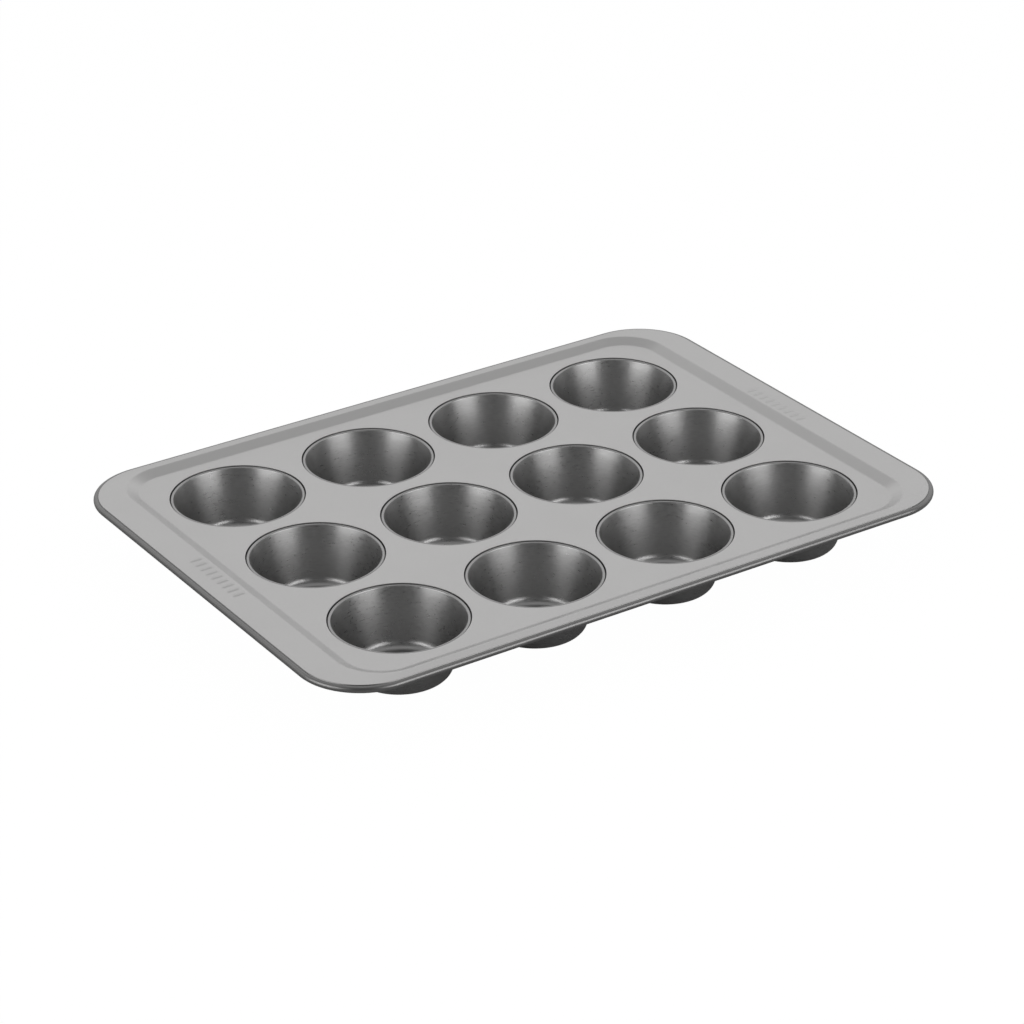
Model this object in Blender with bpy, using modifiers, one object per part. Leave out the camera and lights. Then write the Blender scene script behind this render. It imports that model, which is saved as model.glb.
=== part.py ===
"""Twelve-cup muffin tin.

One pressed top sheet with a shallow recess and two wider ends to hold it by, its edge rolled
round a steel wire, and twelve drawn cups whose rims sit in stepped seats round its holes.
Metres, +Z up. The origin is on the plane the cups stand on, under the middle of the tin, and
+X runs along the long side.
"""
import math

import bmesh
import bpy
from mathutils import Vector

MM = 0.001

# ---- driving dimensions, in millimetres -------------------------------------------------------
SHEET = 0.5                    # thickness of the coated steel sheet
FIT = 0.3                      # gap between pieces that touch

LENGTH = 387.5                 # outside of the rolled edge, along X
WIDTH = 281.0                  # outside of the rolled edge, along Y
CORNER_RADIUS = 36.5           # outside corner, seen from above

CUP_PITCH = 82.0               # centre to centre, both ways
CUPS_ALONG = 4
ROW_NAMES = ("front", "middle", "rear")

CUP_DEPTH = 31.6               # recessed panel's top down to the underside of a cup's floor
FLOOR_FILLET_RADIUS = 6.0      # inside, between the floor and the wall
FLOOR_FLAT_RADIUS = 20.75
LIP_RADIUS = 0.95              # the cup's lip is rolled outward to this radius
LIP_CENTRE_RADIUS = 35.25      # middle of the rolled lip, from the cup's axis
LIP_DROP = 0.35                # top of the lip below the panel's top
LIP_SKIRT = 0.3                # straight end of the lip, below the roll

SEAT_HOLE_RADIUS = LIP_CENTRE_RADIUS + LIP_RADIUS + FIT      # stepped seat in the top sheet
SEAT_LEDGE_DROP = LIP_DROP + LIP_RADIUS + LIP_SKIRT + FIT
SEAT_LEDGE_RADIUS = LIP_CENTRE_RADIUS - LIP_RADIUS + SHEET + FIT
SEAT_LIP = 0.2                 # coined edge at the top of the step

RECESS_DEPTH = 2.8             # rim plateau above the recessed panel
PANEL_HALF_LENGTH = 167.2      # flat of the recessed panel
PANEL_HALF_WIDTH = 125.6
PANEL_CORNER_RADIUS = 20.0
SLOPE_RUN_END = 7.6            # how far the slope spreads outward at the two ends
SLOPE_RUN_SIDE = 7.2           # and along the two long sides
SLOPE_CORNER_RADIUS = 27.5

BEAD_RADIUS = 1.75             # outside of the rolled edge
BEAD_CENTRE_DROP = 2.1         # its centre below the rim plateau
CREASE_INSET = 2.5             # where the plateau breaks down into the rolled edge
BEAD_START = 100.0             # the sheet wraps the wire from here, in degrees,
BEAD_END = -205.0              # past the outside and round underneath to here
WIRE_RADIUS = 0.9

# ---- how finely the round shapes are cut ------------------------------------------------------
ROUND_STEPS = 24
CORNER_STEPS = 6
SLOPE_STEPS = 4
FILLET_STEPS = 3
LIP_STEPS = 4
BEAD_STEPS = 10

PLATEAU_Z = CUP_DEPTH + RECESS_DEPTH


def remove_everything():
    for thing in list(bpy.data.objects):
        bpy.data.objects.remove(thing, do_unlink=True)


def new_collection(name):
    made = bpy.data.collections.new(name)
    bpy.context.scene.collection.children.link(made)
    return made


def new_material(name, colour, roughness, metallic):
    made = bpy.data.materials.new(name)
    made.use_nodes = True
    shader = made.node_tree.nodes["Principled BSDF"]
    shader.inputs["Base Color"].default_value = (*colour, 1.0)
    shader.inputs["Roughness"].default_value = roughness
    shader.inputs["Metallic"].default_value = metallic
    return made


def new_object(name, data, material, collection, parent):
    made = bpy.data.objects.new(name, data)
    collection.objects.link(made)
    made.parent = parent
    if not data.materials:
        data.materials.append(material)
    return made


def circle_ring(bm, centre, radius, z):
    """One ring of points round a cup."""
    ring = []
    for step in range(ROUND_STEPS):
        turn = 2 * math.pi * step / ROUND_STEPS
        point = Vector((centre[0] + radius * math.cos(turn), centre[1] + radius * math.sin(turn), z))
        ring.append(bm.verts.new(point * MM))
    return ring


def oblong_points(half_length, half_width, corner, z):
    """Points round a rectangle with round corners, anticlockwise from its +X side."""
    points = []
    for quarter, (side_x, side_y) in enumerate(((1, 1), (-1, 1), (-1, -1), (1, -1))):
        middle_x = side_x * (half_length - corner)
        middle_y = side_y * (half_width - corner)
        for step in range(CORNER_STEPS + 1):
            turn = math.pi / 2 * (quarter + step / CORNER_STEPS)
            points.append(Vector((middle_x + corner * math.cos(turn),
                                  middle_y + corner * math.sin(turn), z)) * MM)
    return points


def oblong_ring(bm, half_length, half_width, corner, z):
    return [bm.verts.new(point) for point in oblong_points(half_length, half_width, corner, z)]


def skin(bm, rings):
    """Quads between each ring and the next, all rings having the same number of points."""
    for inner, outer in zip(rings, rings[1:]):
        count = len(inner)
        for index in range(count):
            after = (index + 1) % count
            bm.faces.new((inner[index], outer[index], outer[after], inner[after]))


def closed_edges(bm, ring):
    count = len(ring)
    edges = []
    for index in range(count):
        pair = (ring[index], ring[(index + 1) % count])
        edges.append(bm.edges.get(pair) or bm.edges.new(pair))
    return edges


def cup_centres():
    """The middle of every cup, by name."""
    centres = {}
    for row, row_name in enumerate(ROW_NAMES):
        for column in range(CUPS_ALONG):
            x = (column - (CUPS_ALONG - 1) / 2) * CUP_PITCH
            y = (row - (len(ROW_NAMES) - 1) / 2) * CUP_PITCH
            centres[f"cup_{row_name}_{column + 1}"] = (x, y)
    return centres


def slope_rings(bm):
    """From the recessed panel's edge up an S-shaped slope to the rim plateau."""
    rings = []
    for step in range(SLOPE_STEPS + 1):
        along = step / SLOPE_STEPS
        rise = (1 - math.cos(math.pi * along)) / 2
        rings.append(oblong_ring(
            bm,
            PANEL_HALF_LENGTH + SLOPE_RUN_END * along,
            PANEL_HALF_WIDTH + SLOPE_RUN_SIDE * along,
            PANEL_CORNER_RADIUS + (SLOPE_CORNER_RADIUS - PANEL_CORNER_RADIUS) * along,
            CUP_DEPTH + RECESS_DEPTH * rise,
        ))
    return rings


def rolled_edge_rings(bm):
    """The crease at the plateau's edge, then the sheet wrapped round the wire."""
    def inset_ring(inset, z):
        return oblong_ring(bm, LENGTH / 2 - inset, WIDTH / 2 - inset, CORNER_RADIUS - inset, z)

    rings = [inset_ring(CREASE_INSET, PLATEAU_Z)]
    for step in range(BEAD_STEPS + 1):
        turn = math.radians(BEAD_START + (BEAD_END - BEAD_START) * step / BEAD_STEPS)
        inset = BEAD_RADIUS - BEAD_RADIUS * math.cos(turn)
        z = PLATEAU_Z - BEAD_CENTRE_DROP + BEAD_RADIUS * math.sin(turn)
        rings.append(inset_ring(inset, z))
    return rings


def seat_rings(bm, centre):
    """A stepped seat: over the lip, down the step and in along the ledge."""
    lip = circle_ring(bm, centre, SEAT_HOLE_RADIUS + SEAT_LIP, CUP_DEPTH)
    step_top = circle_ring(bm, centre, SEAT_HOLE_RADIUS, CUP_DEPTH - SEAT_LIP)
    step_foot = circle_ring(bm, centre, SEAT_HOLE_RADIUS, CUP_DEPTH - SEAT_LEDGE_DROP)
    ledge = circle_ring(bm, centre, SEAT_LEDGE_RADIUS, CUP_DEPTH - SEAT_LEDGE_DROP)
    return [ledge, step_foot, step_top, lip]


def make_top_sheet(material, collection, parent):
    """The whole pressed sheet as its upper surface, then given its thickness downward."""
    mesh = bpy.data.meshes.new("top_sheet")
    bm = bmesh.new()
    slope = slope_rings(bm)
    skin(bm, slope + rolled_edge_rings(bm))
    panel_edges = closed_edges(bm, slope[0])
    for centre in cup_centres().values():
        seat = seat_rings(bm, centre)
        skin(bm, seat)
        panel_edges += closed_edges(bm, seat[-1])
    bmesh.ops.triangle_fill(bm, use_beauty=True, use_dissolve=False, edges=panel_edges,
                            normal=(0, 0, 1))
    bmesh.ops.recalc_face_normals(bm, faces=bm.faces)
    panel_face = min(bm.faces, key=lambda face: face.calc_center_median().length)
    if panel_face.normal.z < 0:
        bmesh.ops.reverse_faces(bm, faces=bm.faces)
    bm.to_mesh(mesh)
    bm.free()
    mesh.shade_smooth()
    mesh.set_sharp_from_angle(angle=math.radians(35))

    sheet = new_object("top_sheet", mesh, material, collection, parent)
    thickness = sheet.modifiers.new("sheet_thickness", "SOLIDIFY")
    thickness.thickness = SHEET * MM
    thickness.offset = -1
    thickness.use_even_offset = True
    return sheet


def make_rim_wire(material, collection, parent):
    """The steel wire inside the rolled edge, welded into one loop."""
    inset = BEAD_RADIUS
    path = oblong_points(LENGTH / 2 - inset, WIDTH / 2 - inset, CORNER_RADIUS - inset,
                         PLATEAU_Z - BEAD_CENTRE_DROP)
    curve = bpy.data.curves.new("rim_wire", "CURVE")
    curve.dimensions = "3D"
    curve.bevel_depth = WIRE_RADIUS * MM
    curve.bevel_resolution = 2
    spline = curve.splines.new("POLY")
    spline.points.add(len(path) - 1)
    for point, place in zip(spline.points, path):
        point.co = (*place, 1.0)
    spline.use_cyclic_u = True
    return new_object("rim_wire", curve, material, collection, parent)


def wall_tangent(top_radius, top_z):
    """Angle above the level at which the floor's fillet meets the straight wall, on the inside."""
    reach_out = top_radius - FLOOR_FLAT_RADIUS
    reach_up = top_z - (FLOOR_FILLET_RADIUS + SHEET)
    distance = math.hypot(reach_out, reach_up)
    return math.acos(FLOOR_FILLET_RADIUS / distance) - math.atan2(reach_up, reach_out)


def fillet_points(radius, wall_turn):
    """Floor fillet of the given radius, from the floor out and up to the wall."""
    points = []
    for step in range(FILLET_STEPS + 1):
        turn = math.pi / 2 + (wall_turn - math.pi / 2) * step / FILLET_STEPS
        points.append((FLOOR_FLAT_RADIUS + radius * math.cos(turn),
                       FLOOR_FILLET_RADIUS + SHEET - radius * math.sin(turn)))
    return points


def lip_points(radius, centre_z):
    """Half turn over the lip, from the cup's wall to its outer side."""
    points = []
    for step in range(LIP_STEPS + 1):
        turn = math.pi * (1 - step / LIP_STEPS)
        points.append((LIP_CENTRE_RADIUS + radius * math.cos(turn),
                       centre_z + radius * math.sin(turn)))
    return points


def cup_profile():
    """Half section of a cup: up the inside, over the rolled lip, back under it, down the outside."""
    lip_z = CUP_DEPTH - LIP_DROP - LIP_RADIUS
    wall_turn = wall_tangent(LIP_CENTRE_RADIUS - LIP_RADIUS, lip_z)
    skirt_z = lip_z - LIP_SKIRT
    skirt = [(LIP_CENTRE_RADIUS + LIP_RADIUS, skirt_z),
             (LIP_CENTRE_RADIUS + LIP_RADIUS - SHEET, skirt_z)]
    inside = [(0.0, SHEET)] + fillet_points(FLOOR_FILLET_RADIUS, wall_turn)
    outside = fillet_points(FLOOR_FILLET_RADIUS + SHEET, wall_turn)[::-1] + [(0.0, 0.0)]
    over = lip_points(LIP_RADIUS, lip_z)
    under = lip_points(LIP_RADIUS - SHEET, lip_z)[::-1]
    return inside + over + skirt + under + outside


def cup_mesh():
    """One mesh shared by all the cups: the half section, to be turned about the cup's own axis."""
    mesh = bpy.data.meshes.new("drawn_cup")
    profile = cup_profile()
    points = [Vector((radius, 0.0, height)) * MM for radius, height in profile]
    mesh.from_pydata(points, [(index, index + 1) for index in range(len(points) - 1)], [])
    return mesh


def make_cup(name, centre, mesh, material, collection, parent):
    cup = new_object(name, mesh, material, collection, parent)
    cup.location = Vector((centre[0], centre[1], 0.0)) * MM
    turned = cup.modifiers.new("turned", "SCREW")
    turned.axis = "Z"
    turned.angle = 2 * math.pi
    turned.steps = ROUND_STEPS
    turned.render_steps = ROUND_STEPS
    turned.use_merge_vertices = True
    turned.merge_threshold = 0.00005
    turned.use_smooth_shade = True
    return cup


def main():
    remove_everything()
    tin = new_collection("muffin_tin")
    origin = bpy.data.objects.new("tin_origin", None)
    tin.objects.link(origin)

    coating = new_material("grey_nonstick_coating", (0.40, 0.40, 0.39), 0.42, 0.55)
    cup_coating = new_material("grey_nonstick_coating_cups", (0.33, 0.33, 0.33), 0.36, 0.60)
    bare_steel = new_material("bare_steel_wire", (0.55, 0.54, 0.52), 0.35, 1.0)

    make_top_sheet(coating, tin, origin)
    make_rim_wire(bare_steel, tin, origin)
    shared = cup_mesh()
    for name, centre in cup_centres().items():
        make_cup(name, centre, shared, cup_coating, tin, origin)


main()
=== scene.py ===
"""The finished look of the muffin tin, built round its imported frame.

Run as a script it builds the tin and its studio; its panel then stands in the 3D view's sidebar.
Lengths are in metres. The frame's origin is on the floor under the middle of the tin, +X runs
along the long side and the tin is seen from its front row, that is from -Y.
"""

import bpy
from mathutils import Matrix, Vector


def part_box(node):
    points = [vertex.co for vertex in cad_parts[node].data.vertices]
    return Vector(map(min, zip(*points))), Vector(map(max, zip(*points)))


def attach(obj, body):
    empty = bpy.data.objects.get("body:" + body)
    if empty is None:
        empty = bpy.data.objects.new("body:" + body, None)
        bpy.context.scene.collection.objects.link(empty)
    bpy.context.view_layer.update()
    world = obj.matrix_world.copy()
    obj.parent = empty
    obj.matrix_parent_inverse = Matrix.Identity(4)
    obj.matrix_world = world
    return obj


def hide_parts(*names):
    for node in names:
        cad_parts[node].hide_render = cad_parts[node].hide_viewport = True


bl_info = {
    "name": "Muffin Tin",
    "version": (1, 0, 0),
    "blender": (4, 5, 0),
    "location": "3D View > Sidebar > Muffin Tin",
    "description": "Builds a muffin tin with seated cups and a wired rim, in a plain studio",
    "category": "Add Mesh",
}

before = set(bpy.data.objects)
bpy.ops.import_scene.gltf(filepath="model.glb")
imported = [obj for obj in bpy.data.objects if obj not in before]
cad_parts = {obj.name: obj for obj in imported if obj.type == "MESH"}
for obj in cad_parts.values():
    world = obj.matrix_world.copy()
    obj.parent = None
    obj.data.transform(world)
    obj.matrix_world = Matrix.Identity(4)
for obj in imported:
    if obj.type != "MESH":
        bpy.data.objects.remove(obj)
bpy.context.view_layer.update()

import math

import bmesh
import bpy
from bpy.props import FloatProperty, FloatVectorProperty, IntProperty, PointerProperty
from mathutils import Matrix, Vector

BODY = "root"

# ---- what the frame says ----------------------------------------------------------------------
SHEET_LOW, SHEET_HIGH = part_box("top_sheet")
CUP_NAMES = sorted(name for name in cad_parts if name.startswith("cup_"))
CUP_LOW, CUP_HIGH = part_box(CUP_NAMES[0])
WIRE_LOW, WIRE_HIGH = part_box("rim_wire")
PLATEAU_Z = SHEET_HIGH.z
LIP_TOP_Z = CUP_HIGH.z
WIRE_Z = (WIRE_LOW.z + WIRE_HIGH.z) / 2
WIRE_INSET = SHEET_HIGH.x - WIRE_HIGH.x + (WIRE_HIGH.z - WIRE_LOW.z) / 2


def cup_centre(name):
    low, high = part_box(name)
    return Vector(((low.x + high.x) / 2, (low.y + high.y) / 2, 0.0))


# ---- sizes and colours a user would change ----------------------------------------------------
def length(name, description, default):
    return FloatProperty(name=name, description=description, default=default, min=0.0,
                         unit="LENGTH", subtype="DISTANCE", precision=5)


def colour(name, description, default):
    return FloatVectorProperty(name=name, description=description, default=default, size=3,
                               min=0.0, max=1.0, subtype="COLOR")


class TinSizes(bpy.types.PropertyGroup):
    """Sizes of the pressed sheet, the rolled edge and the cups."""
    sheet: length("Sheet", "Thickness of the coated steel sheet", 0.0005)
    corner: length("Outer Corner", "Radius of the tin's corners, seen from above", 0.0365)
    recess: length("Recess Depth", "Drop from the rim plateau to the panel", 0.0028)
    panel_half_length: length("Panel Half Length", "Half of the panel up to the slope, along X",
                              0.1679)
    panel_half_width: length("Panel Half Width", "Half of the panel up to the slope, along Y",
                             0.1262)
    panel_corner: length("Panel Corner", "Corner radius at the panel's edge", 0.021)
    slope_end: length("End Slope", "Run of the slope at the two ends", 0.0062)
    slope_side: length("Side Slope", "Run of the slope along the long sides", 0.0060)
    slope_corner: length("Slope Corner", "Corner radius at the top of the slope", 0.0265)
    slope_bend: length("Slope Bend", "Radius of the two bends of the slope", 0.0035)
    bead: length("Rolled Edge", "Radius of the edge rolled round the wire", 0.00175)
    lip: length("Cup Lip", "Radius to which a cup's lip is rolled", 0.00095)
    fillet: length("Floor Fillet", "Radius between a cup's floor and wall", 0.006)
    floor_flat: length("Floor Flat", "Radius of the flat part of a cup's floor", 0.02075)
    fall: length("Rim Fall", "Drop of the rim plateau from its slope to its rolled edge", 0.0003)
    grip_height: length("Grip Bars", "Height of the pressed grip bars", 0.00028)
    round_steps: IntProperty(name="Round Steps", description="Steps round each cup",
                             default=128, min=32, max=256)


class TinColours(bpy.types.PropertyGroup):
    """Colours of the sheet's coating, the cups' coating, the wire and the floor."""
    coating: colour("Coating", "Grey coating of the sheet", (0.402, 0.398, 0.396))
    coating_cups: colour("Cup Coating", "Grey coating inside and outside the cups",
                         (0.285, 0.283, 0.282))
    steel: colour("Wire Steel", "Bare steel of the rim wire", (0.55, 0.54, 0.52))
    floor: colour("Floor", "Pale studio floor", (0.42, 0.42, 0.42))


# ---- node trees written as expressions --------------------------------------------------------
class Tap:
    """One value in a node tree; arithmetic on it adds Math nodes."""

    def __init__(self, tree, socket):
        self.tree = tree
        self.socket = socket

    def math(self, operation, *others):
        node = self.tree.nodes.new("ShaderNodeMath")
        node.operation = operation
        for socket, value in zip(node.inputs, (self, *others)):
            plug(self.tree, socket, value)
        return Tap(self.tree, node.outputs[0])

    def __add__(self, other):
        return self.math("ADD", other)

    __radd__ = __add__

    def __mul__(self, other):
        return self.math("MULTIPLY", other)

    __rmul__ = __mul__

    def __sub__(self, other):
        return self.math("SUBTRACT", other)

    def __rsub__(self, other):
        return (self * -1.0) + other

    def __truediv__(self, other):
        return self.math("DIVIDE", other)

    def __pow__(self, other):
        return self.math("POWER", other)


def plug(tree, socket, value):
    """Links a tap to a socket, or sets the socket to a plain value."""
    if isinstance(value, Tap):
        tree.links.new(value.socket, socket)
    else:
        socket.default_value = value


class Shop:
    """A material's or a world's node tree, emptied and built up again."""

    def __init__(self, owner):
        owner.use_nodes = True
        self.tree = owner.node_tree
        self.tree.nodes.clear()

    def node(self, kind, settings=None, inputs=None, output=0):
        """Adds one node: its settings first, then its sockets' values or links."""
        made = self.tree.nodes.new(kind)
        for key, value in (settings or {}).items():
            setattr(made, key, value)
        for key, value in (inputs or {}).items():
            plug(self.tree, made.inputs[key], value)
        return Tap(self.tree, made.outputs[output]) if made.outputs else None

    def noise(self, vector, scale, detail=2.0, roughness=0.5):
        return self.node("ShaderNodeTexNoise", {"noise_dimensions": "3D"},
                         {"Vector": vector, "Scale": scale, "Detail": detail,
                          "Roughness": roughness})

    def mix_colour(self, factor, first, second):
        return self.node("ShaderNodeMix", {"data_type": "RGBA"}, {0: factor, 6: first, 7: second}, 2)

    def vector_math(self, operation, *values):
        inputs = {index: value for index, value in enumerate(values)}
        return self.node("ShaderNodeVectorMath", {"operation": operation}, inputs)

    def axis(self, vector, index):
        """One coordinate of a vector: 0, 1 or 2 for x, y or z."""
        return self.node("ShaderNodeSeparateXYZ", None, {0: vector}, index)

    def spread(self, value, low, high, to_low, to_high):
        """A value's range carried over to another, held at its ends."""
        return self.node("ShaderNodeMapRange", {"clamp": True},
                         {"Value": value, "From Min": low, "From Max": high,
                          "To Min": to_low, "To Max": to_high})


def shade(value, rgb):
    """A colour made lighter or darker, with full alpha."""
    return (*(min(1.0, channel * value) for channel in rgb), 1.0)


SEAT_GAP = 0.0003              # clearance between a cup and its seat
SEAT_PAINTED_SHADE = 0.22               # painted shade: share of the sheet's colour left in the seats, for the gap's shadow
SEAT_PAINTED_SHADE_IN = 0.0002          # the seats' painted shade fades out from this far inside the hole's edge
SEAT_PAINTED_SHADE_OUT = 0.0001         # to this far outside it
EDGE_PAINTED_SHADE = 0.42               # painted shade: share of the sheet's colour left on the rolled edge below its top
EDGE_PAINTED_SHADE_FULL = 0.00042       # drop from the plateau at which the edge's painted shade is full
EDGE_PAINTED_SHADE_NONE = 0.00032       # and at which it starts
EDGE_PAINTED_SHADE_WIDTH = 0.004        # the painted shade stays within this distance of the outline
COATING_METALLIC = 0.92
SHEET_ROUGHNESS = 0.34
CUP_ROUGHNESS = 0.33
MARK_STRETCH = 0.22            # across-the-wall share of the scale that makes draw marks long


def seat_painted_shade(shop, place):
    """Mask of the painted shade in the cups' seats, for the shadowed gap round each cup: 1 inside
    the seats and 0 on the rest of the sheet.
    """
    pitch = cup_centre(CUP_NAMES[1]).x - cup_centre(CUP_NAMES[0]).x
    hole = (CUP_HIGH.x - CUP_LOW.x) / 2 + SEAT_GAP
    apart = []
    inside = []
    for axis, start in ((0, cup_centre(CUP_NAMES[0]).x), (1, cup_centre(CUP_NAMES[0]).y)):
        along = shop.axis(place, axis)
        apart.append(((along - start) / pitch + 0.5).math("FRACT") - 0.5)
        inside.append(along.math("ABSOLUTE").math("LESS_THAN", abs(start) + pitch / 2))
    reach = (apart[0] * apart[0] + apart[1] * apart[1]) ** 0.5 * pitch
    fade = shop.spread(reach, hole - SEAT_PAINTED_SHADE_IN, hole + SEAT_PAINTED_SHADE_OUT, 1.0, 0.0)
    return fade * inside[0] * inside[1]


def edge_painted_shade(shop, place, sizes):
    """Mask of the painted shade on the rolled edge: 1 on the rolled edge and 0 on the rest of the
    sheet.
    """
    along = shop.axis(place, 0).math("ABSOLUTE")
    across = shop.axis(place, 1).math("ABSOLUTE")
    up = shop.axis(place, 2)
    past_x = (along - (SHEET_HIGH[0] - sizes.corner)).math("MAXIMUM", 0.0)
    past_y = (across - (SHEET_HIGH[1] - sizes.corner)).math("MAXIMUM", 0.0)
    reach = (past_x * past_x + past_y * past_y) ** 0.5
    outside = reach.math("GREATER_THAN", sizes.corner - EDGE_PAINTED_SHADE_WIDTH)
    fade = shop.spread(up, PLATEAU_Z - EDGE_PAINTED_SHADE_FULL, PLATEAU_Z - EDGE_PAINTED_SHADE_NONE, 1.0, 0.0)
    return fade * outside


def coating_material(name, rgb, roughness, draw_marks, sizes):
    """Satin grey non-stick coating on sheet steel: fine grain, faint mottle and a soft orange peel.

    draw_marks is the strength of the fine rings that drawing leaves round a cup's wall. A sheet
    without them gets painted shade: darker in the cups' seats, for the shadowed gap round each
    cup, and darker on its rolled edge below its top. Both painted shades are chosen for the look."""
    made = bpy.data.materials.new(name)
    shop = Shop(made)
    place = shop.node("ShaderNodeTexCoord", output=3)
    own_place = shop.node("ShaderNodeObjectInfo", output=0)
    shifted = shop.vector_math("ADD", place, own_place)

    grain = shop.noise(shifted, 2200.0, 2.0, 0.6)
    peel = shop.noise(shifted, 900.0, 3.0, 0.55)
    mottle = shop.noise(shifted, 45.0, 4.0, 0.6)
    cloud = shop.noise(shifted, 11.0, 2.0, 0.5)

    tone = (grain - 0.5) * 0.16 + (mottle - 0.5) * 0.10 + (cloud - 0.5) * 0.06 + 0.5
    sheen = (peel - 0.5) * 0.10 + (mottle - 0.5) * 0.08 + (cloud - 0.5) * 0.05 + roughness
    height = (grain - 0.5) * 0.3 + (peel - 0.5) * 1.0

    if draw_marks:
        ring = shop.node("ShaderNodeCombineXYZ", None,
                         {0: shop.axis(place, 0) * MARK_STRETCH,
                          1: shop.axis(place, 1) * MARK_STRETCH,
                          2: shop.axis(place, 2)})
        marks = shop.noise(shop.vector_math("ADD", ring, own_place), 1300.0, 3.0, 0.6)
        tone = tone + (marks - 0.5) * 0.8 * draw_marks
        sheen = sheen + (marks - 0.5) * 0.30 * draw_marks
        height = height + (marks - 0.5) * 1.2 * draw_marks
    bare = shop.mix_colour(tone, shade(0.80, rgb), shade(1.20, rgb))
    # painted shade: seats darkened for the shadowed gap round each cup, rolled edge below its top
    if not draw_marks:
        bare = shop.mix_colour(seat_painted_shade(shop, place), bare, shade(SEAT_PAINTED_SHADE, rgb))
        bare = shop.mix_colour(edge_painted_shade(shop, place, sizes), bare, shade(EDGE_PAINTED_SHADE, rgb))

    bump = shop.node("ShaderNodeBump", None,
                     {"Strength": 0.22, "Distance": 0.00005, "Height": height})
    surface = shop.node("ShaderNodeBsdfPrincipled", None,
                        {"Base Color": bare, "Roughness": sheen,
                         "Metallic": COATING_METALLIC, "Normal": bump})
    shop.node("ShaderNodeOutputMaterial", None, {"Surface": surface})
    return made


def steel_material(name, rgb):
    """Bare drawn wire: bright steel with fine streaks and a little dulling."""
    made = bpy.data.materials.new(name)
    shop = Shop(made)
    place = shop.node("ShaderNodeTexCoord", output=3)
    streak = shop.noise(place, 1500.0, 3.0, 0.6)
    dull = shop.noise(place, 60.0, 3.0, 0.5)
    bare = shop.mix_colour(dull, shade(0.8, rgb), shade(1.1, rgb))
    bump = shop.node("ShaderNodeBump", None,
                     {"Strength": 0.2, "Distance": 0.00004, "Height": streak})
    surface = shop.node("ShaderNodeBsdfPrincipled", None,
                        {"Base Color": bare, "Roughness": (streak - 0.5) * 0.2 + 0.34,
                         "Metallic": 1.0, "Normal": bump})
    shop.node("ShaderNodeOutputMaterial", None, {"Surface": surface})
    return made


# ---- outlines ---------------------------------------------------------------------------------
def arc(centre, radius, start, end, steps):
    """Points on an arc in the half-section plane, angles in degrees."""
    points = []
    for step in range(steps + 1):
        turn = math.radians(start + (end - start) * step / steps)
        points.append((centre[0] + radius * math.cos(turn), centre[1] + radius * math.sin(turn)))
    return points


def rounded(corners, degrees_per_step=12.0):
    """A line through the given corners (across, up, radius), each corner rounded to its radius."""
    points = [corners[0][:2]]
    for before, here, after in zip(corners, corners[1:], corners[2:]):
        radius = here[2] if len(here) > 2 else 0.0
        spot = Vector(here[:2])
        back = (Vector(before[:2]) - spot).normalized()
        ahead = (Vector(after[:2]) - spot).normalized()
        opening = back.angle(ahead)
        turn = math.pi - opening
        if radius <= 0.0 or turn < 0.01:
            points.append(tuple(spot))
            continue
        centre = spot + (back + ahead).normalized() * radius / math.sin(opening / 2)
        first = spot + back * radius / math.tan(opening / 2) - centre
        side = 1.0 if back.x * ahead.y - back.y * ahead.x < 0.0 else -1.0
        steps = max(2, math.ceil(math.degrees(turn) / degrees_per_step))
        for step in range(steps + 1):
            swing = Matrix.Rotation(side * turn * step / steps, 2)
            points.append(tuple(centre + swing @ first))
    points.append(corners[-1][:2])
    return points


def ease(low, high, share):
    return low + (high - low) * share


# ---- mesh helpers -----------------------------------------------------------------------------
def skin(bm, rings, closed=False):
    """Quads between each ring of points and the next."""
    pairs = list(zip(rings, rings[1:]))
    if closed:
        pairs.append((rings[-1], rings[0]))
    for inner, outer in pairs:
        for index, point in enumerate(inner):
            after = (index + 1) % len(inner)
            bm.faces.new((point, outer[index], outer[after], inner[after]))


def ring_edges(bm, ring):
    edges = []
    for index, point in enumerate(ring):
        pair = (point, ring[(index + 1) % len(ring)])
        edges.append(bm.edges.get(pair) or bm.edges.new(pair))
    return edges


def circle_ring(bm, centre, radius, z, steps):
    ring = []
    for step in range(steps):
        turn = 2 * math.pi * step / steps
        ring.append(bm.verts.new((centre.x + radius * math.cos(turn),
                                  centre.y + radius * math.sin(turn), z)))
    return ring


def piece(name, bm, material, replaced, sharp=40.0):
    """A finished mesh as a piece that stands for its node and rides with the tin."""
    bmesh.ops.recalc_face_normals(bm, faces=bm.faces)
    mesh = bpy.data.meshes.new(name)
    bm.to_mesh(mesh)
    bm.free()
    mesh.materials.append(material)
    mesh.shade_smooth()
    mesh.set_sharp_from_angle(angle=math.radians(sharp))
    made = bpy.data.objects.new(name, mesh)
    bpy.context.scene.collection.objects.link(made)
    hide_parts(replaced)
    return made


# ---- the pressed sheet ------------------------------------------------------------------------
GRIP_BARS = 9
GRIP_PITCH = 0.0056
GRIP_BAR_LENGTH = 0.0068
GRIP_BAR_WIDTH = 0.0017
GRIP_BAR_SOFT = 0.0007
GRIP_MIDDLE = 0.0030           # the row of bars sits this far towards the rear
GRIP_OUT = 0.1795              # and its bars' middles this far out on both ends
GRIP_FINE_SPAN = 0.031         # half of the stretch of the ends that is divided finely
GRIP_FINE_STEPS = 110
CORNER_STEPS = 20
PLATEAU_RINGS = 24
ROLL_CREASE = 112.0            # where the roll starts, in degrees back from its inner side
ROLL_END = -205.0              # and where the sheet ends, round the wire
ROLL_STEPS = 44
ROLL_APPROACH = (0.0034, 0.0040)   # the level sheet's last inset before the roll, upper and lower


def even_side(straight):
    """Places along a long side's straight stretch."""
    return [ease(-straight, straight, step / 8) for step in range(1, 8)]


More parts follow.
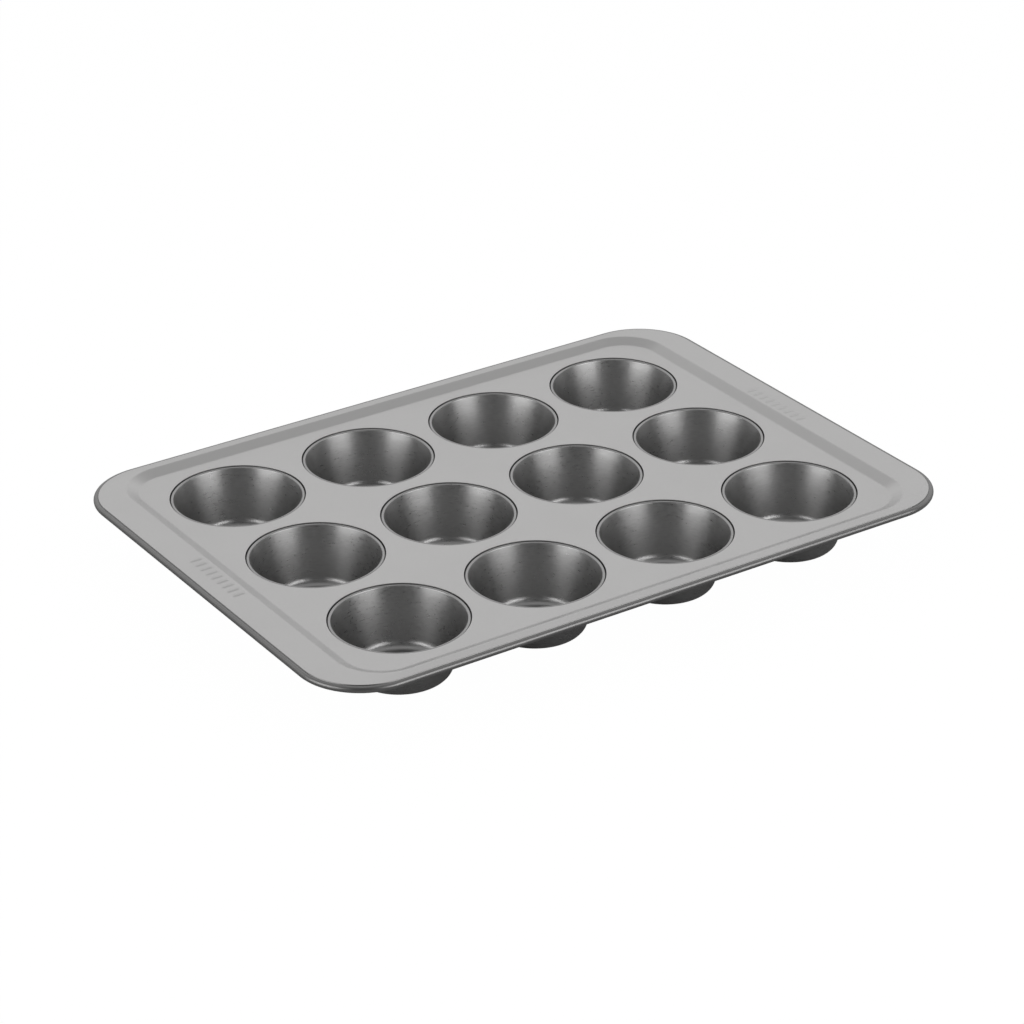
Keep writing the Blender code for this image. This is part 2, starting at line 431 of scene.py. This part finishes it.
def end_side(straight):
    """Places along an end's straight stretch, close together where the grip bars are pressed."""
    places = [GRIP_MIDDLE + ease(-GRIP_FINE_SPAN, GRIP_FINE_SPAN, step / GRIP_FINE_STEPS)
              for step in range(GRIP_FINE_STEPS + 1)]
    return [ease(-straight, places[0], 0.5)] + places + [ease(places[-1], straight, 0.5)]


def oblong(half_length, half_width, corner):
    """Points round a rectangle with round corners, anticlockwise from its front left corner."""
    points = []
    straight_x = half_length - corner
    straight_y = half_width - corner

    def turn_corner(middle_x, middle_y, start):
        for step in range(CORNER_STEPS + 1):
            turn = start + math.pi / 2 * step / CORNER_STEPS
            points.append((middle_x + corner * math.cos(turn), middle_y + corner * math.sin(turn)))

    turn_corner(-straight_x, -straight_y, math.pi)
    points.extend((x, -half_width) for x in even_side(straight_x))
    turn_corner(straight_x, -straight_y, -math.pi / 2)
    points.extend((half_length, y) for y in end_side(straight_y))
    turn_corner(straight_x, straight_y, 0.0)
    points.extend((-x, half_width) for x in even_side(straight_x))
    turn_corner(-straight_x, straight_y, math.pi / 2)
    points.extend((-half_length, y) for y in reversed(end_side(straight_y)))
    return points


def grip_rise(x, y):
    """Height share of the row of short bars that is pressed up into both wide ends."""
    along = abs(abs(x) - GRIP_OUT)
    across = (y - GRIP_MIDDLE) / GRIP_PITCH
    nearest = max(-(GRIP_BARS // 2), min(GRIP_BARS // 2, round(across)))
    side = abs(across - nearest) * GRIP_PITCH
    radius = GRIP_BAR_WIDTH / 2
    reach = math.hypot(max(0.0, along - (GRIP_BAR_LENGTH / 2 - radius)), side)
    share = (radius + GRIP_BAR_SOFT - reach) / (2 * GRIP_BAR_SOFT)
    share = max(0.0, min(1.0, share))
    return share * share * (3 - 2 * share)


def oblong_ring(bm, half_length, half_width, corner, z, raised=0.0):
    ring = []
    for x, y in oblong(half_length, half_width, corner):
        lift = raised * grip_rise(x, y) if raised else 0.0
        ring.append(bm.verts.new((x, y, z + lift)))
    return ring


def slope_line(sizes):
    """Half section of the slope: share of its run against height above the panel.

    The two bends reach a little past the slope's own foot and top."""
    run = (sizes.slope_end + sizes.slope_side) / 2
    line = rounded([(-run, 0.0), (0.0, 0.0, sizes.slope_bend),
                    (run, sizes.recess, sizes.slope_bend), (2 * run, sizes.recess)], 3.0)
    return [(across / run, up) for across, up in line[1:-1]]


def edge_lines(sizes):
    """Half sections of the rolled edge, (inset, up from the plateau): outer side, inner side."""
    bead, sheet = sizes.bead, sizes.sheet
    middle = (bead, WIRE_Z - PLATEAU_Z)

    def round_the_wire(radius):
        return arc(middle, radius, 180.0 - ROLL_CREASE, 180.0 - ROLL_END, ROLL_STEPS)

    outer_arc = round_the_wire(bead)
    inner_arc = round_the_wire(bead - sheet)
    start = outer_arc[0]
    outer = rounded([(ROLL_APPROACH[0], 0.0), (start[0] + 0.00032, 0.0, 0.0003),
                     (*start, 0.00012), outer_arc[1]], 10.0)
    start = inner_arc[0]
    inner = rounded([(ROLL_APPROACH[1], -sheet), (start[0] + 0.00062, -sheet, 0.00012),
                     (*start, 0.0003), inner_arc[1]], 10.0)
    return outer[:-1] + outer_arc[1:], inner[:-1] + inner_arc[1:]


def side_rings(bm, sizes, panel_z, drop, edge, raised):
    """Rings of one side of the sheet, from the panel's edge to the end of the roll.

    drop is how far this side lies below the upper one where the sheet is level."""
    rings = []
    slope = slope_line(sizes)
    for index, (share, up) in enumerate(slope):
        before = slope[max(0, index - 1)]
        after = slope[min(len(slope) - 1, index + 1)]
        run = (sizes.slope_end + sizes.slope_side) / 2
        steepness = (after[1] - before[1]) / max(1e-9, (after[0] - before[0]) * run)
        rings.append(oblong_ring(
            bm,
            sizes.panel_half_length + sizes.slope_end * share,
            sizes.panel_half_width + sizes.slope_side * share,
            ease(sizes.panel_corner, sizes.slope_corner, share),
            panel_z + up - drop * math.sqrt(1 + steepness * steepness),
        ))
    half_length, half_width = SHEET_HIGH.x, SHEET_HIGH.y
    reach = slope[-1][0]
    top = (sizes.panel_half_length + sizes.slope_end * reach,
           sizes.panel_half_width + sizes.slope_side * reach,
           ease(sizes.panel_corner, sizes.slope_corner, reach))
    inset = edge[0][0]
    foot = (half_length - inset, half_width - inset, sizes.corner - inset)
    for step in range(1, PLATEAU_RINGS):
        share = step / PLATEAU_RINGS
        outline = [ease(a, b, share) for a, b in zip(top, foot)]
        rings.append(oblong_ring(bm, *outline, PLATEAU_Z - drop - sizes.fall * share, raised))
    for inset, up in edge:
        rings.append(oblong_ring(bm, half_length - inset, half_width - inset,
                                 sizes.corner - inset, PLATEAU_Z - sizes.fall + up))
    return rings


def seat_line(sizes):
    """Half section of a cup's seat, (radius, up from the panel's top): upper side, lower side."""
    lip_middle = (CUP_HIGH.x - CUP_LOW.x) / 2 - sizes.lip
    hole = lip_middle + sizes.lip + SEAT_GAP
    ledge = lip_middle - sizes.lip + sizes.sheet + SEAT_GAP
    panel_z = PLATEAU_Z - sizes.recess
    shelf = LIP_TOP_Z - panel_z - sizes.lip - 0.0006
    sheet = sizes.sheet
    apron = 0.0012
    return (
        rounded([(hole + apron, 0.0), (hole + apron * 0.6, 0.0), (hole, 0.0, 0.00018),
                 (hole, shelf, 0.0002), (ledge, shelf)], 15.0),
        rounded([(ledge, shelf - sheet), (hole + sheet, shelf - sheet, 0.0006),
                 (hole + sheet, -sheet, 0.0002), (hole + apron * 0.8, -sheet),
                 (hole + apron, -sheet)], 15.0),
    )


class TIN_OT_top_sheet(bpy.types.Operator):
    """Press the sheet: panel, seats, slope, plateau with its grip bars, and rolled edge."""
    bl_idname = "tin.top_sheet"
    bl_label = "Top Sheet"

    def execute(self, context):
        sizes = context.scene.tin_sizes
        colours = context.scene.tin_colours
        panel_z = PLATEAU_Z - sizes.recess
        bm = bmesh.new()
        outer_edge, inner_edge = edge_lines(sizes)
        upper = side_rings(bm, sizes, panel_z, 0.0, outer_edge, sizes.grip_height)
        lower = side_rings(bm, sizes, panel_z, sizes.sheet, inner_edge, sizes.grip_height)
        skin(bm, upper)
        skin(bm, lower)
        skin(bm, [upper[-1], lower[-1]])

        upper_panel = ring_edges(bm, upper[0])
        lower_panel = ring_edges(bm, lower[0])
        top_line, foot_line = seat_line(sizes)
        for name in CUP_NAMES:
            centre = cup_centre(name)
            seat = [circle_ring(bm, centre, radius, panel_z + up, sizes.round_steps)
                    for radius, up in top_line + foot_line]
            skin(bm, seat)
            upper_panel += ring_edges(bm, seat[0])
            lower_panel += ring_edges(bm, seat[-1])
        for edges in (upper_panel, lower_panel):
            bmesh.ops.triangle_fill(bm, use_beauty=True, use_dissolve=False, edges=edges,
                                    normal=(0, 0, 1))

        coating = coating_material("sheet_coating", colours.coating, SHEET_ROUGHNESS, 0.0, sizes)
        made = piece("tin_top_sheet", bm, coating, "top_sheet")
        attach(made, BODY)
        return {"FINISHED"}


class TIN_OT_rim_wire(bpy.types.Operator):
    """Lay the steel wire inside the rolled edge."""
    bl_idname = "tin.rim_wire"
    bl_label = "Rim Wire"

    def execute(self, context):
        sizes = context.scene.tin_sizes
        radius = (WIRE_HIGH.z - WIRE_LOW.z) / 2
        bm = bmesh.new()
        rings = []
        for across, up in arc((WIRE_INSET, WIRE_Z), radius, 0.0, 360.0, 20)[:-1]:
            rings.append(oblong_ring(bm, SHEET_HIGH.x - across, SHEET_HIGH.y - across,
                                     sizes.corner - across, up - sizes.fall))
        skin(bm, rings, closed=True)
        steel = steel_material("bare_wire", context.scene.tin_colours.steel)
        made = piece("tin_rim_wire", bm, steel, "rim_wire")
        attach(made, BODY)
        return {"FINISHED"}


# ---- the cups ---------------------------------------------------------------------------------
def cup_line(sizes):
    """Half section of a cup, from the floor's middle inside, over the lip, to the middle outside."""
    sheet, lip, fillet = sizes.sheet, sizes.lip, sizes.fillet
    lip_middle = (CUP_HIGH.x - CUP_LOW.x) / 2 - lip
    lip_z = LIP_TOP_Z - lip
    reach_out = lip_middle - lip - sizes.floor_flat
    reach_up = lip_z - (fillet + sheet)
    lean = math.acos(fillet / math.hypot(reach_out, reach_up)) - math.atan2(reach_up, reach_out)
    lean = math.degrees(lean)
    floor_middle = (sizes.floor_flat, fillet + sheet)
    floor_rings = [0.003, 0.008, 0.013, 0.017]
    inside = [(radius, sheet) for radius in floor_rings]
    inside += arc(floor_middle, fillet, -90.0, -lean, 18)
    wall_foot = inside[-1]
    over = arc((lip_middle, lip_z), lip, 180.0 - lean, 0.0, 22)
    wall = [(ease(wall_foot[0], over[0][0], step / 6), ease(wall_foot[1], over[0][1], step / 6))
            for step in range(1, 6)]
    skirt_z = lip_z - 0.0003
    skirt = rounded([over[-1], (lip_middle + lip, skirt_z, 0.00012),
                     (lip_middle + lip - sheet, skirt_z, 0.00012),
                     (lip_middle + lip - sheet, lip_z)], 30.0)
    under = arc((lip_middle, lip_z), lip - sheet, 0.0, 180.0 - lean, 14)
    outside = arc(floor_middle, fillet + sheet, -lean, -90.0, 18)
    outside += [(radius, 0.0) for radius in reversed(floor_rings)]
    return inside + wall + over + skirt[1:-1] + under + outside


class TIN_OT_cups(bpy.types.Operator):
    """Draw the twelve cups and set each into its seat."""
    bl_idname = "tin.cups"
    bl_label = "Cups"

    def execute(self, context):
        sizes = context.scene.tin_sizes
        colours = context.scene.tin_colours
        coating = coating_material("cup_coating", colours.coating_cups, CUP_ROUGHNESS, 1.0, sizes)
        line = cup_line(sizes)
        for name in CUP_NAMES:
            bm = bmesh.new()
            rings = [circle_ring(bm, Vector((0, 0, 0)), radius, z, sizes.round_steps)
                     for radius, z in line]
            skin(bm, rings)
            bm.faces.new(rings[0])
            bm.faces.new(rings[-1])
            made = piece("tin_" + name, bm, coating, name)
            made.location = cup_centre(name)
            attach(made, BODY)
        return {"FINISHED"}


# ---- the studio -------------------------------------------------------------------------------
CAMERA_AZIMUTH = 33.23         # degrees the camera stands round from the front, towards -X
CAMERA_ELEVATION = 27.23
CAMERA_DISTANCE = 1.797
CAMERA_TILT = -0.70
CAMERA_LENS = 119.2
CAMERA_AIM = Vector((-0.01345, -0.01898, 0.0322))
WALL_LIGHT = 1.27              # brightness of the white wall behind the tin at its brightest
WALL_FOOT = 0.68               # and at its foot
CEILING_LIGHT = 0.56
ROOM_LIGHT = 0.16              # added everywhere
LEFT_LIGHT = 2.05              # brightness of the face of each side softbox
RIGHT_LIGHT = 2.25
LEFT_BOX = (-59.0, 23.0)       # azimuth from the camera's own and elevation, in degrees
RIGHT_BOX = (57.0, 26.0)
BOX_DISTANCE = 1.8
BOX_SIZE = (1.5, 1.3)
FLOOR_LIFT = 0.97              # share of paper white in the floor where it is looked at directly
PAPER_WHITE = 1.02


def compass(azimuth, elevation):
    """Direction from the tin, the azimuth counted from the camera's own, positive to its right."""
    around = math.radians(-90.0 - CAMERA_AZIMUTH + azimuth)
    up = math.radians(elevation)
    return Vector((math.cos(around) * math.cos(up), math.sin(around) * math.cos(up), math.sin(up)))


def aim(thing, place, target, tilt=0.0):
    """Puts a camera or a light at a place, looking at a target."""
    thing.location = place
    thing.rotation_mode = "QUATERNION"
    look = (target - place).to_track_quat("-Z", "Y")
    thing.rotation_quaternion = look @ Matrix.Rotation(math.radians(tilt), 3, "Z").to_quaternion()


def softbox(name, azimuth, elevation, brightness):
    """A flat studio light aimed at the tin's middle; brightness is that of its face."""
    width, height = BOX_SIZE
    lamp = bpy.data.lights.new(name, "AREA")
    lamp.shape = "RECTANGLE"
    lamp.size = width
    lamp.size_y = height
    lamp.energy = 4.0 * width * height * brightness
    made = bpy.data.objects.new(name, lamp)
    bpy.context.scene.collection.objects.link(made)
    middle = Vector((0.0, 0.0, PLATEAU_Z))
    aim(made, middle + compass(azimuth, elevation) * BOX_DISTANCE, middle)
    return made


def make_sky(scene):
    """Room light: a white wall behind the tin, a pale ceiling and a dim room behind the camera."""
    world = bpy.data.worlds.new("studio_room")
    scene.world = world
    shop = Shop(world)
    direction = shop.node("ShaderNodeTexCoord", output=0)
    backward = shop.node("ShaderNodeVectorMath", {"operation": "DOT_PRODUCT"},
                         {0: direction, 1: tuple(compass(180.0, 0.0))}, 1)
    upward = shop.node("ShaderNodeVectorMath", {"operation": "DOT_PRODUCT"},
                       {0: direction, 1: (0.0, 0.0, 1.0)}, 1)
    low = shop.spread(upward, 0.28, 0.56, WALL_FOOT, WALL_LIGHT)
    high = shop.spread(upward, 0.57, 0.67, WALL_LIGHT, CEILING_LIGHT)
    wall = shop.spread(backward, 0.0, 0.40, 0.0, 1.0) * low.math("MINIMUM", high)
    ceiling = (shop.spread(backward, -0.26, -0.06, 0.0, CEILING_LIGHT)
               * shop.spread(upward, 0.60, 0.85, 0.0, 1.0))
    strength = wall.math("MAXIMUM", ceiling) + ROOM_LIGHT
    glow = shop.node("ShaderNodeBackground", None,
                     {"Color": (1.0, 1.0, 1.0, 1.0), "Strength": strength})
    shop.node("ShaderNodeOutputWorld", None, {"Surface": glow})


def floor_material(rgb):
    """Matt pale floor, lifted to paper white where it is looked at directly."""
    made = bpy.data.materials.new("studio_floor")
    shop = Shop(made)
    place = shop.node("ShaderNodeTexCoord", output=3)
    speck = shop.noise(place, 30.0, 2.0, 0.5)
    tone = shop.mix_colour(speck, shade(0.99, rgb), shade(1.01, rgb))
    matt = shop.node("ShaderNodeBsdfPrincipled", None, {"Base Color": tone, "Roughness": 0.9})
    paper = shop.node("ShaderNodeEmission", None,
                      {"Color": (1.0, 1.0, 1.0, 1.0), "Strength": PAPER_WHITE})
    seen = shop.node("ShaderNodeLightPath", output=0)
    surface = shop.node("ShaderNodeMixShader", None, {0: seen * FLOOR_LIFT, 1: matt, 2: paper})
    shop.node("ShaderNodeOutputMaterial", None, {"Surface": surface})
    return made


class TIN_OT_stage(bpy.types.Operator):
    """Set up the pale floor, the soft lights and the camera."""
    bl_idname = "tin.stage"
    bl_label = "Stage"

    def execute(self, context):
        scene = context.scene
        bm = bmesh.new()
        bmesh.ops.create_grid(bm, x_segments=8, y_segments=8, size=6.0)
        mesh = bpy.data.meshes.new("studio_floor")
        bm.to_mesh(mesh)
        bm.free()
        mesh.materials.append(floor_material(scene.tin_colours.floor))
        floor = bpy.data.objects.new("studio_floor", mesh)
        scene.collection.objects.link(floor)

        make_sky(scene)
        softbox("left_box", *LEFT_BOX, LEFT_LIGHT)
        softbox("right_box", *RIGHT_BOX, RIGHT_LIGHT)

        lens = bpy.data.cameras.new("studio_camera")
        lens.lens = CAMERA_LENS
        lens.sensor_width = 36.0
        lens.clip_start = 0.05
        lens.clip_end = 50.0
        camera = bpy.data.objects.new("studio_camera", lens)
        scene.collection.objects.link(camera)
        place = CAMERA_AIM + compass(0.0, CAMERA_ELEVATION) * CAMERA_DISTANCE
        aim(camera, place, CAMERA_AIM, CAMERA_TILT)
        scene.camera = camera
        scene.view_settings.view_transform = "Standard"
        scene.view_settings.look = "None"
        return {"FINISHED"}


# ---- panel and start --------------------------------------------------------------------------
BUILD_STEPS = (TIN_OT_top_sheet, TIN_OT_rim_wire, TIN_OT_cups, TIN_OT_stage)


class TIN_PT_panel(bpy.types.Panel):
    """Sidebar panel with the tin's sizes, colours and build steps."""
    bl_idname = "TIN_PT_panel"
    bl_label = "Muffin Tin"
    bl_space_type = "VIEW_3D"
    bl_region_type = "UI"
    bl_category = "Muffin Tin"

    def draw(self, context):
        for group in (context.scene.tin_sizes, context.scene.tin_colours):
            column = self.layout.column(align=True)
            for name in group.__annotations__:
                column.prop(group, name)
        for step in BUILD_STEPS:
            self.layout.operator(step.bl_idname)


CLASSES = (TinSizes, TinColours, *BUILD_STEPS, TIN_PT_panel)


def register():
    for cls in CLASSES:
        bpy.utils.register_class(cls)
    bpy.types.Scene.tin_sizes = PointerProperty(type=TinSizes)
    bpy.types.Scene.tin_colours = PointerProperty(type=TinColours)


def unregister():
    del bpy.types.Scene.tin_colours
    del bpy.types.Scene.tin_sizes
    for cls in reversed(CLASSES):
        bpy.utils.unregister_class(cls)


def main():
    register()
    bpy.ops.tin.top_sheet()
    bpy.ops.tin.rim_wire()
    bpy.ops.tin.cups()
    bpy.ops.tin.stage()


if __name__ == "__main__":
    main()
